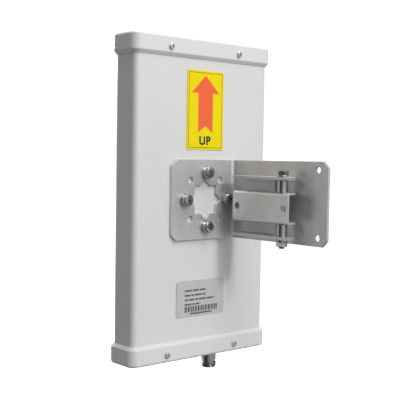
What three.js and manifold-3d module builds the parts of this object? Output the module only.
// Flat panel antenna with a bent side bracket and a swinging mounting channel.
// Millimetres, +Z up. The panel stands upright and radiates towards +Y; its back faces -Y.
// The origin is the centre of the outer face of the mounting channel's web.
// The pieces below are drawn about the centre of the panel's back, and moved there at the end.

import * as THREE from 'three';
import { mergeVertices } from 'three/addons/utils/BufferGeometryUtils.js';
import Module from 'manifold-3d';

const wasm = await Module();
wasm.setup();

// ---------------------------------------------------------------- driving dimensions

const GAP = 0.3; // between pieces that touch

const PANEL_HEIGHT = 320; // half above and half below the middle of the bracket's star, which is Z = 0
const BODY_WIDTH = 173.2;
const BODY_DEPTH = 33.8;
const BODY_CORNER = 6;
const BODY_WALL = 2.5;

const CAP_OVERHANG = 3.4;
const CAP_HEIGHT = 20;
const CAP_CHAMFER = 3.2;
const CAP_LIP = 0.6;
const CAP_FILLET = 3;
const CAP_END_WALL = 3;
const CAP_SCREW_X = { left: -47, right: 42 };
const CAP_SCREW_INSET = { top: 11.3, bottom: 8.2 }; // from the cap's closed end

const SHEET = 3; // bracket and yoke plate
const BRACKET_HEIGHT = 80;
const BRACKET_LEFT = -43.7;
const BRACKET_SIDE = 38.5; // inner face of the leg that stands away from the panel
const BRACKET_REACH = 130.4; // from the panel's back to the far edge of that leg
const BRACKET_CHAMFER = 6;
const BEND_RADIUS = 5;
const CORNER_HOLE = { y: -118, z: 32, radius: 3.25 };

const STAR_SIDE = 28.5;
const RING_RADIUS = 27.5;
const RING_HOLE_RADIUS = 3.5;

const MID_Z = -5.3; // mid-height of the yoke and the channel
const YOKE_HEIGHT = 60;
const YOKE_WEB_LENGTH = 45;
const YOKE_SCREW_Y = [-34, -54];
const CHANNEL_HEIGHT = 30;
const CHANNEL_SHEET = 2;
const CHANNEL_DEPTH = 14.3;
const CHANNEL_FRONT = 20.4; // outer face of the channel's web
const CHANNEL_START = -21.5; // the end nearest the panel
const CHANNEL_HOLE = { spacing: 63.5, radius: 3.4 };

const PIVOT_X = 25.9;
const PIVOT_Y = -85.1;
const PIVOT_TO_END = 12.4; // also the radius of the rounded ends that turn past the bracket
const CHANNEL_END = PIVOT_Y - PIVOT_TO_END;
const CHANNEL_MID = (CHANNEL_START + CHANNEL_END) / 2;
const SLEEVE_RADIUS = 5.2;

const M6 = { shank: 3, clear: 3.3, head: 6, flats: 10, nut: 4.5 };
const M3 = { shank: 1.5, clear: 1.8, head: 3, headHeight: 2.4, length: 8 };
const FLAT_WASHER = { radius: 6.2, thickness: 1.4 };
const SPRING_WASHER = { radius: 5.6, thickness: 1.6, slit: 1 };
const PANEL_SCREW_HEAD = 4;
const YOKE_SCREW_HEAD = 3.2;
const PIVOT_HEAD = 4;
const THREAD_END = 2; // how far a screw runs past its nut

const REFLECTOR = { width: 156, height: 290, sheet: 1.5, lip: 10 };
const BOARD = { width: 148, height: 276, thickness: 1.6, back: 10.1 };
const PATCH = { side: 48, thickness: 1, pitchX: 75, pitchZ: 90, back: 20 };
const POST = { foot: 4.5, neck: 3 };
const CABLE_RADIUS = 1.1;

const CONNECTOR_X = 25;
const CONNECTOR = { radius: 7.95, collar: 7.7, groove: 6.6, stem: 6.2, length: 17.6, inside: 13 };
const CONNECTOR_STEPS = { flange: 1.3, collar: 10, groove: 12, chamfer: 1.5 }; // below the cap
const SOCKET = { radius: 4.3, depth: 8.6 };
const INSULATOR = { radius: 3.3, bore: 1.8, length: 20.5 };
const PIN = { radius: 1.5, recess: 5.6, length: 27.2, bore: 0.8 };
const CONNECTOR_NUT = { flats: 18, thickness: 3.5 };

const UP_LABEL = { width: 48, height: 79, corner: 1, x: 0.3, z: 89.5 };
const RATING_LABEL = { width: 63, height: 36, corner: 3, x: -2.4, z: -99.4 };
const LABEL_THICKNESS = 0.3;

// ---------------------------------------------------------------- materials

function finish(color, roughness, metalness) {
  return new THREE.MeshStandardMaterial({ color, roughness, metalness });
}

const radomePlastic = finish(0xdcdddc, 0.45, 0);
const capPlastic = finish(0xd6d7d6, 0.5, 0);
const sheetAluminium = finish(0xa9aaab, 0.45, 1);
const stainless = finish(0xb8b8b6, 0.28, 1);
const zincSteel = finish(0x9ea0a2, 0.35, 1);
const nickelBrass = finish(0xb9b6aa, 0.3, 1);
const goldContact = finish(0xc9a24a, 0.25, 1);
const ptfe = finish(0xefece4, 0.6, 0);
const rubberBlack = finish(0x1c1c1c, 0.8, 0);
const boardLaminate = finish(0x2f5f3a, 0.55, 0);
const whiteNylon = finish(0xe6e4dc, 0.6, 0);
const cableJacket = finish(0x9a6a42, 0.4, 0.6);
const labelYellow = finish(0xf6dc2a, 0.5, 0);
const labelSilver = finish(0xc4c6c6, 0.45, 0.3);

// ---------------------------------------------------------------- solids

function toSolid(geometry) {
  const bare = geometry.clone();
  bare.deleteAttribute('normal');
  bare.deleteAttribute('uv');
  const merged = mergeVertices(bare, 1e-4);
  return new wasm.Manifold(new wasm.Mesh({
    numProp: 3,
    vertProperties: new Float32Array(merged.attributes.position.array),
    triVerts: new Uint32Array(merged.index.array),
  }));
}

function toGeometry(solid) {
  const mesh = solid.getMesh();
  const geometry = new THREE.BufferGeometry();
  geometry.setAttribute('position', new THREE.BufferAttribute(mesh.vertProperties, 3));
  geometry.setIndex(new THREE.BufferAttribute(mesh.triVerts, 1));
  geometry.computeVertexNormals();
  return geometry;
}

function cut(base, ...tools) {
  return toGeometry(tools.reduce((solid, tool) => solid.subtract(toSolid(tool)), toSolid(base)));
}

function join(first, ...others) {
  return toGeometry(others.reduce((solid, other) => solid.add(toSolid(other)), toSolid(first)));
}

function common(first, second) {
  return toGeometry(toSolid(first).intersect(toSolid(second)));
}

function box(x0, x1, y0, y1, z0, z1) {
  const geometry = new THREE.BoxGeometry(x1 - x0, y1 - y0, z1 - z0);
  return geometry.translate((x0 + x1) / 2, (y0 + y1) / 2, (z0 + z1) / 2);
}

// A piece turned on the Z axis. Its [radius, z] profile runs upwards and ends on the axis.
function turned(points, segments = 20) {
  const profile = points.map(([radius, z]) => new THREE.Vector2(radius, z));
  return new THREE.LatheGeometry(profile, segments).rotateX(Math.PI / 2);
}

function rod(radius, z0, z1, segments = 20) {
  return turned([[0, z0], [radius, z0], [radius, z1], [0, z1]], segments);
}

// A ring on the Z axis, with its profile closed on itself.
function ring(inner, outer, z0, z1, segments = 20) {
  return turned([[inner, z0], [outer, z0], [outer, z1], [inner, z1], [inner, z0]], segments);
}

function hexagon(acrossFlats, z0, z1) {
  return rod(acrossFlats / Math.sqrt(3), z0, z1, 6);
}

function hexNut(acrossFlats, bore, thickness) {
  return cut(hexagon(acrossFlats, 0, thickness), rod(bore, -1, thickness + 1));
}

const alongX = (geometry) => geometry.rotateY(Math.PI / 2); // +Z turns to +X
const alongBack = (geometry) => geometry.rotateX(Math.PI / 2); // +Z turns to -Y
const alongFront = (geometry) => geometry.rotateX(-Math.PI / 2); // +Z turns to +Y
const upsideDown = (geometry) => geometry.rotateY(Math.PI);

function roundedRect(width, height, radius) {
  const x = width / 2 - radius;
  const y = height / 2 - radius;
  const shape = new THREE.Shape();
  shape.absarc(x, y, radius, 0, Math.PI / 2);
  shape.absarc(-x, y, radius, Math.PI / 2, Math.PI);
  shape.absarc(-x, -y, radius, Math.PI, 1.5 * Math.PI);
  shape.absarc(x, -y, radius, 1.5 * Math.PI, 2 * Math.PI);
  shape.closePath();
  return shape;
}

function slab(shape, z0, z1, curveSegments = 6) {
  const geometry = new THREE.ExtrudeGeometry(shape, { depth: z1 - z0, bevelEnabled: false, curveSegments });
  return geometry.translate(0, 0, z0);
}

// A rounded block whose top and bottom edges are softened within its own outline.
function softBlock(width, height, radius, z0, z1, { inset, rise, steps }) {
  const outline = roundedRect(width - 2 * inset, height - 2 * inset, radius - inset);
  const geometry = new THREE.ExtrudeGeometry(outline, {
    depth: z1 - z0 - 2 * rise,
    bevelEnabled: true,
    bevelSize: inset,
    bevelThickness: rise,
    bevelSegments: steps,
    curveSegments: 6,
  });
  return geometry.translate(0, 0, z0 + rise);
}

// A pan-head screw with a cross recess. It points down, with the underside of its head at Z = 0.
function crossScrew(head, headHeight, shank, length) {
  const tip = 0.6;
  const body = turned([
    [0, -length],
    [shank - tip, -length],
    [shank, -length + tip],
    [shank, 0],
    [head, 0],
    [head, headHeight * 0.55],
    [head * 0.82, headHeight * 0.85],
    [head * 0.5, headHeight],
    [0, headHeight],
  ]);
  const arm = head * 0.55;
  const blade = head * 0.11;
  const floor = headHeight * 0.45;
  const above = headHeight + 1;
  return cut(
    body,
    box(-arm, arm, -blade, blade, floor, above),
    box(-blade, blade, -arm, arm, floor, above),
  );
}

// ---------------------------------------------------------------- scene graph

const antenna = new THREE.Group();
antenna.name = 'panel_antenna';
antenna.position.set(-CHANNEL_FRONT, -CHANNEL_MID, -MID_Z);

function add(name, geometry, material, x = 0, y = 0, z = 0) {
  const mesh = new THREE.Mesh(geometry, material);
  mesh.name = name;
  mesh.position.set(x, y, z);
  antenna.add(mesh);
}

// The four used holes of the bracket's ring, and their places in X and Z.
const RING_PLACES = ['right', 'top', 'left', 'bottom'].map((name, index) => {
  const angle = index * Math.PI / 2;
  return { name, x: RING_RADIUS * Math.cos(angle), z: RING_RADIUS * Math.sin(angle) };
});

// ---------------------------------------------------------------- panel housing

const BODY_MID = BODY_DEPTH / 2;
const PANEL_TOP = PANEL_HEIGHT / 2;
const PANEL_BOTTOM = -PANEL_TOP;
const CAP_SCREW_PLACES = ['top', 'bottom'].flatMap((end) => ['left', 'right'].map((side) => ({
  name: `${end}_${side}`,
  x: CAP_SCREW_X[side],
  z: end === 'top' ? PANEL_TOP - CAP_SCREW_INSET.top : PANEL_BOTTOM + CAP_SCREW_INSET.bottom,
})));

function radomeBody() {
  const low = PANEL_BOTTOM + CAP_END_WALL + GAP;
  const high = PANEL_TOP - CAP_END_WALL - GAP;
  const outer = roundedRect(BODY_WIDTH, BODY_DEPTH, BODY_CORNER);
  const inner = roundedRect(BODY_WIDTH - 2 * BODY_WALL, BODY_DEPTH - 2 * BODY_WALL, BODY_CORNER - BODY_WALL);
  const tube = cut(slab(outer, low, high), slab(inner, low - 1, high + 1)).translate(0, BODY_MID, 0);
  const hole = (radius, { x, z }) => alongFront(rod(radius, -1, BODY_WALL + 1)).translate(x, 0, z);
  const mountHoles = RING_PLACES.map((place) => hole(M6.clear, place));
  const capHoles = CAP_SCREW_PLACES.map((place) => hole(M3.clear, place));
  return cut(tube, ...mountHoles, ...capHoles);
}

// A cap with its closed end at Z = 0, its mouth upwards and a row of screw holes.
function cap(screwHoles, screwInset) {
  const width = BODY_WIDTH + 2 * CAP_OVERHANG;
  const depth = BODY_DEPTH + 2 * CAP_OVERHANG;
  const corner = BODY_CORNER + CAP_OVERHANG;
  const round = { inset: CAP_FILLET, rise: CAP_FILLET, steps: 3 };
  const chamfer = { inset: CAP_OVERHANG - CAP_LIP, rise: CAP_CHAMFER, steps: 1 };
  const rounded = softBlock(width, depth, corner, 0, 2 * CAP_HEIGHT, round);
  const chamfered = softBlock(width, depth, corner, -CAP_HEIGHT, CAP_HEIGHT, chamfer);
  const seat = roundedRect(BODY_WIDTH + 2 * GAP, BODY_DEPTH + 2 * GAP, BODY_CORNER + GAP);
  const holes = screwHoles.map((x) => alongBack(rod(M3.clear, 0, depth)).translate(x, 0, screwInset));
  return cut(common(rounded, chamfered), slab(seat, CAP_END_WALL, CAP_HEIGHT + 1), ...holes);
}

function bottomCap() {
  const port = rod(CONNECTOR.stem + GAP, -1, CAP_END_WALL + 1).translate(CONNECTOR_X, 0, 0);
  return cut(cap([CAP_SCREW_X.left, CAP_SCREW_X.right], CAP_SCREW_INSET.bottom), port);
}

function topCap() {
  return upsideDown(cap([-CAP_SCREW_X.left, -CAP_SCREW_X.right], CAP_SCREW_INSET.top));
}

add('radome_body', radomeBody(), radomePlastic);
add('bottom_cap', bottomCap(), capPlastic, 0, BODY_MID, PANEL_BOTTOM);
add('top_cap', topCap(), capPlastic, 0, BODY_MID, PANEL_TOP);
for (const { name, x, z } of CAP_SCREW_PLACES) {
  const screw = alongBack(crossScrew(M3.head, M3.headHeight, M3.shank, M3.length));
  add(`cap_screw_${name}`, screw, stainless, x, -CAP_OVERHANG - GAP, z);
}

// ---------------------------------------------------------------- inside the panel

const REFLECTOR_BACK = BODY_WALL + GAP;
const REFLECTOR_FRONT = REFLECTOR_BACK + REFLECTOR.sheet;
const BOARD_FRONT = BOARD.back + BOARD.thickness;
const PATCH_PLACES = [-1, 0, 1].flatMap((row) => [-0.5, 0.5].map((column) => ({
  x: column * PATCH.pitchX,
  z: row * PATCH.pitchZ,
})));

function reflector() {
  const half = REFLECTOR.width / 2;
  const inner = half - REFLECTOR.sheet;
  const lip = REFLECTOR_BACK + REFLECTOR.lip;
  const section = new THREE.Shape([
    [-half, REFLECTOR_BACK], [half, REFLECTOR_BACK], [half, lip], [inner, lip],
    [inner, REFLECTOR_FRONT], [-inner, REFLECTOR_FRONT], [-inner, lip], [-half, lip],
  ].map(([x, y]) => new THREE.Vector2(x, y)));
  const tray = slab(section, -REFLECTOR.height / 2, REFLECTOR.height / 2);
  const holes = RING_PLACES.map(({ x, z }) => (
    alongFront(rod(M6.clear, 0, REFLECTOR_FRONT + 1)).translate(x, 0, z)
  ));
  return cut(tray, ...holes);
}

function feedBoard() {
  const board = box(
    -BOARD.width / 2, BOARD.width / 2, BOARD.back, BOARD_FRONT, -BOARD.height / 2, BOARD.height / 2,
  );
  const holes = PATCH_PLACES.map(({ x, z }) => (
    alongFront(rod(POST.neck + GAP, 0, BOARD_FRONT + 1, 12)).translate(x, 0, z)
  ));
  return cut(board, ...holes);
}

// A post stands on the reflector; its foot carries the board and its neck carries the patch.
function patchPost() {
  const foot = REFLECTOR_FRONT + GAP;
  const shoulder = BOARD.back - GAP;
  const head = PATCH.back - GAP;
  return alongFront(turned([
    [0, foot], [POST.foot, foot], [POST.foot, shoulder], [POST.neck, shoulder], [POST.neck, head], [0, head],
  ], 12));
}

function radiatorPatch() {
  const half = PATCH.side / 2;
  return box(-half, half, PATCH.back, PATCH.back + PATCH.thickness, -half, half);
}

function feedCable() {
  const onBoard = BOARD_FRONT + CABLE_RADIUS + GAP;
  const route = new THREE.CatmullRomCurve3([
    new THREE.Vector3(CONNECTOR_X, BODY_MID, PANEL_BOTTOM + 16),
    new THREE.Vector3(CONNECTOR_X, BODY_MID + 1, PANEL_BOTTOM + 24),
    new THREE.Vector3(CONNECTOR_X - 9, BODY_MID, PANEL_BOTTOM + 34),
    new THREE.Vector3(2, onBoard + 0.5, PANEL_BOTTOM + 48),
    new THREE.Vector3(0, onBoard, PANEL_BOTTOM + 100),
  ]);
  const section = new THREE.Shape();
  section.absarc(0, 0, CABLE_RADIUS, 0, 2 * Math.PI);
  return new THREE.ExtrudeGeometry(section, { steps: 28, extrudePath: route, curveSegments: 4 });
}

add('reflector', reflector(), sheetAluminium);
add('feed_board', feedBoard(), boardLaminate);
PATCH_PLACES.forEach(({ x, z }, index) => {
  add(`patch_post_${index + 1}`, patchPost(), whiteNylon, x, 0, z);
  add(`radiator_patch_${index + 1}`, radiatorPatch(), sheetAluminium, x, 0, z);
});
add('feed_cable', feedCable(), cableJacket);

// ---------------------------------------------------------------- cable connector

function connectorBody() {
  const { radius, collar, groove, stem, length, inside } = CONNECTOR;
  const steps = CONNECTOR_STEPS;
  const shell = turned([
    [0, -length],
    [radius - steps.chamfer, -length],
    [radius, steps.chamfer - length],
    [radius, -steps.groove],
    [groove, -steps.groove],
    [groove, -steps.collar],
    [collar, -steps.collar],
    [collar, -steps.flange],
    [stem, -steps.flange],
    [stem, inside],
    [0, inside],
  ], 32);
  const socket = rod(SOCKET.radius, -length - 1, SOCKET.depth - length, 24);
  const bore = rod(INSULATOR.radius + GAP, -length, inside + 1, 20);
  return cut(shell, socket, bore);
}

function connectorPin() {
  const tip = PIN.recess - CONNECTOR.length;
  return cut(rod(PIN.radius, tip, tip + PIN.length, 12), rod(PIN.bore, tip - 1, tip + 5, 10));
}

function connectorInsulator() {
  const start = SOCKET.depth - CONNECTOR.length + GAP;
  return ring(INSULATOR.bore, INSULATOR.radius, start, start + INSULATOR.length);
}

const connectorPlace = [CONNECTOR_X, BODY_MID, PANEL_BOTTOM];
const lockingNut = hexNut(CONNECTOR_NUT.flats, CONNECTOR.stem + GAP, CONNECTOR_NUT.thickness);
const gasket = ring(CONNECTOR.stem + GAP, CONNECTOR.collar, GAP - CONNECTOR_STEPS.flange, -GAP, 28);
add('connector_body', connectorBody(), nickelBrass, ...connectorPlace);
add('connector_gasket', gasket, rubberBlack, ...connectorPlace);
add('connector_nut', lockingNut.translate(0, 0, CAP_END_WALL + GAP), nickelBrass, ...connectorPlace);
add('connector_insulator', connectorInsulator(), ptfe, ...connectorPlace);
add('connector_pin', connectorPin(), goldContact, ...connectorPlace);

// ---------------------------------------------------------------- side bracket

// The section in X and Y: a leg flat on the panel and a leg that stands off towards -Y.
function bracketSection() {
  const outerRadius = BEND_RADIUS + SHEET;
  const outer = BRACKET_SIDE + SHEET;
  const bendX = outer - outerRadius;
  const bendY = -GAP - outerRadius;
  const shape = new THREE.Shape();
  shape.moveTo(BRACKET_LEFT, -GAP);
  shape.lineTo(bendX, -GAP);
  shape.absarc(bendX, bendY, outerRadius, Math.PI / 2, 0, true);
  shape.lineTo(outer, -BRACKET_REACH);
  shape.lineTo(BRACKET_SIDE, -BRACKET_REACH);
  shape.lineTo(BRACKET_SIDE, bendY);
  shape.absarc(bendX, bendY, BEND_RADIUS, 0, Math.PI / 2, false);
  shape.lineTo(BRACKET_LEFT, -GAP - SHEET);
  shape.closePath();
  return shape;
}

// Square bars, turned by 45 degrees, that take off the four free corners.
function bracketCorners() {
  const half = BRACKET_CHAMFER / Math.SQRT2;
  const through = 2 * SHEET + 1;
  const bars = [];
  for (const z of [-BRACKET_HEIGHT / 2, BRACKET_HEIGHT / 2]) {
    const onPanel = box(-half, half, -through, 1, -half, half).rotateY(Math.PI / 4);
    const onSide = box(-through, through, -half, half, -half, half).rotateX(Math.PI / 4);
    bars.push(onPanel.translate(BRACKET_LEFT, 0, z));
    bars.push(onSide.translate(BRACKET_SIDE, -BRACKET_REACH, z));
  }
  return bars;
}

function bracketHoles() {
  const half = STAR_SIDE / 2;
  const through = 2 * SHEET + 1;
  const sideHole = (radius, y, z) => alongX(rod(radius, -1, SHEET + 1)).translate(BRACKET_SIDE, y, z);
  const star = [0, Math.PI / 4].map((turn) => box(-half, half, -through, 1, -half, half).rotateY(turn));
  const ringHoles = Array.from({ length: 8 }, (_, index) => {
    const hole = alongBack(rod(RING_HOLE_RADIUS, -1, through)).translate(RING_RADIUS, 0, 0);
    return hole.rotateY(index * Math.PI / 4);
  });
  const corners = [-CORNER_HOLE.z, CORNER_HOLE.z].map((z) => sideHole(CORNER_HOLE.radius, CORNER_HOLE.y, z));
  const yokeHoles = YOKE_SCREW_Y.map((y) => sideHole(M6.clear, y, MID_Z));
  return [...star, ...ringHoles, ...corners, ...yokeHoles];
}

function sideBracket() {
  const sheet = slab(bracketSection(), -BRACKET_HEIGHT / 2, BRACKET_HEIGHT / 2);
  return cut(sheet, ...bracketCorners(), ...bracketHoles());
}

function springWasher() {
  const { radius, thickness, slit } = SPRING_WASHER;
  const washer = ring(M6.clear, radius, 0, thickness);
  return cut(washer, box(0, radius + 1, -slit / 2, slit / 2, -1, thickness + 1));
}

add('side_bracket', sideBracket(), sheetAluminium);

const FLAT_FACE = SHEET + 2 * GAP; // distances behind the panel's back, one washer after another
const SPRING_FACE = FLAT_FACE + FLAT_WASHER.thickness + GAP;
const HEAD_FACE = SPRING_FACE + SPRING_WASHER.thickness + GAP;
const NUT_FACE = REFLECTOR_FRONT + GAP;
const PANEL_SCREW_LENGTH = HEAD_FACE + BOARD.back - 2 * GAP;

for (const { name, x, z } of RING_PLACES) {
  const flat = ring(M6.clear, FLAT_WASHER.radius, 0, FLAT_WASHER.thickness);
  const screw = crossScrew(M6.head, PANEL_SCREW_HEAD, M6.shank, PANEL_SCREW_LENGTH);
  const nut = hexNut(M6.flats, M6.clear, M6.nut);
  add(`flat_washer_${name}`, alongBack(flat), stainless, x, -FLAT_FACE, z);
  add(`spring_washer_${name}`, alongBack(springWasher()), stainless, x, -SPRING_FACE, z);
  add(`panel_screw_${name}`, alongBack(screw), stainless, x, -HEAD_FACE, z);
  add(`panel_nut_${name}`, alongFront(nut), zincSteel, x, NUT_FACE, z);
}

// ---------------------------------------------------------------- yoke and mounting channel

// The outline in X and Y that the yoke's ears and the channel's legs share. It is square at the
// panel's end and, past the pivot, rounded about it on the bracket's side.
function pivotOutline(outer) {
  const shape = new THREE.Shape();
  shape.moveTo(CHANNEL_FRONT, CHANNEL_START);
  shape.lineTo(CHANNEL_FRONT, CHANNEL_END);
  shape.lineTo(PIVOT_X, CHANNEL_END);
  const turn = Math.acos((outer - PIVOT_X) / PIVOT_TO_END);
  shape.absarc(PIVOT_X, PIVOT_Y, PIVOT_TO_END, -Math.PI / 2, -turn, false);
  shape.lineTo(outer, CHANNEL_START);
  shape.closePath();
  return shape;
}

function pivotHole(height) {
  return rod(M6.clear, -height, height).translate(PIVOT_X, PIVOT_Y, 0);
}

function yoke() {
  const outer = BRACKET_SIDE - GAP;
  const half = YOKE_HEIGHT / 2;
  const upper = slab(pivotOutline(outer), half - SHEET, half);
  const lower = slab(pivotOutline(outer), -half, -half + SHEET);
  const web = box(outer - SHEET, outer, CHANNEL_START - YOKE_WEB_LENGTH, CHANNEL_START, -half, half);
  const screwHoles = YOKE_SCREW_Y.map((y) => alongX(rod(M6.clear, -SHEET - 1, 1)).translate(outer, y, 0));
  return cut(join(web, upper, lower), pivotHole(YOKE_HEIGHT), ...screwHoles);
}

function mountingChannel() {
  const half = CHANNEL_HEIGHT / 2;
  const outer = CHANNEL_FRONT + CHANNEL_DEPTH;
  const inside = box(
    CHANNEL_FRONT + CHANNEL_SHEET, outer + 1, CHANNEL_END - 1, CHANNEL_START + 1,
    -half + CHANNEL_SHEET, half - CHANNEL_SHEET,
  );
  const mastHoles = [-0.5, 0.5].map((side) => (
    alongX(rod(CHANNEL_HOLE.radius, -1, CHANNEL_SHEET + 1))
      .translate(CHANNEL_FRONT, CHANNEL_MID + side * CHANNEL_HOLE.spacing, 0)
  ));
  return cut(slab(pivotOutline(outer), -half, half), inside, pivotHole(CHANNEL_HEIGHT), ...mastHoles);
}

add('yoke', yoke(), sheetAluminium, 0, 0, MID_Z);
add('mounting_channel', mountingChannel(), sheetAluminium, 0, 0, MID_Z);

const YOKE_HEAD_FACE = BRACKET_SIDE - SHEET - 2 * GAP;
const YOKE_NUT_FACE = BRACKET_SIDE + SHEET + GAP;
const YOKE_SCREW_LENGTH = YOKE_NUT_FACE - YOKE_HEAD_FACE + M6.nut + THREAD_END;

YOKE_SCREW_Y.forEach((y, index) => {
  const screw = crossScrew(M6.head, YOKE_SCREW_HEAD, M6.shank, YOKE_SCREW_LENGTH);
  const nut = hexNut(M6.flats, M6.clear, M6.nut);
  add(`yoke_screw_${index + 1}`, screw.rotateY(-Math.PI / 2), zincSteel, YOKE_HEAD_FACE, y, MID_Z);
  add(`yoke_nut_${index + 1}`, alongX(nut), zincSteel, YOKE_NUT_FACE, y, MID_Z);
});

// ---------------------------------------------------------------- pivot

const WASHER_FACE = YOKE_HEIGHT / 2 + GAP; // distances above and below the yoke's mid-height
const BOLT_FACE = WASHER_FACE + FLAT_WASHER.thickness + GAP;
const BOLT_END = BOLT_FACE + M6.nut + THREAD_END;

function pivotBolt() {
  return join(rod(M6.shank, -BOLT_END, BOLT_FACE + 1), hexagon(M6.flats, BOLT_FACE, BOLT_FACE + PIVOT_HEAD));
}

function pivotSleeve() {
  return ring(M6.clear, SLEEVE_RADIUS, CHANNEL_HEIGHT / 2 + GAP, YOKE_HEIGHT / 2 - SHEET - GAP);
}

function pivotWasher() {
  return ring(M6.clear, FLAT_WASHER.radius, WASHER_FACE, WASHER_FACE + FLAT_WASHER.thickness);
}

const pivotPlace = [PIVOT_X, PIVOT_Y, MID_Z];
const pivotNut = hexNut(M6.flats, M6.clear, M6.nut).translate(0, 0, -BOLT_FACE - M6.nut);
add('pivot_bolt', pivotBolt(), zincSteel, ...pivotPlace);
add('pivot_nut', pivotNut, zincSteel, ...pivotPlace);
add('pivot_washer_top', pivotWasher(), stainless, ...pivotPlace);
add('pivot_washer_bottom', upsideDown(pivotWasher()), stainless, ...pivotPlace);
add('pivot_sleeve_top', pivotSleeve(), stainless, ...pivotPlace);
add('pivot_sleeve_bottom', upsideDown(pivotSleeve()), stainless, ...pivotPlace);

// ---------------------------------------------------------------- labels

function label({ width, height, corner }) {
  return alongBack(slab(roundedRect(width, height, corner), GAP, GAP + LABEL_THICKNESS, 4));
}

add('up_label', label(UP_LABEL), labelYellow, UP_LABEL.x, 0, UP_LABEL.z);
add('rating_label', label(RATING_LABEL), labelSilver, RATING_LABEL.x, 0, RATING_LABEL.z);

export default antenna;
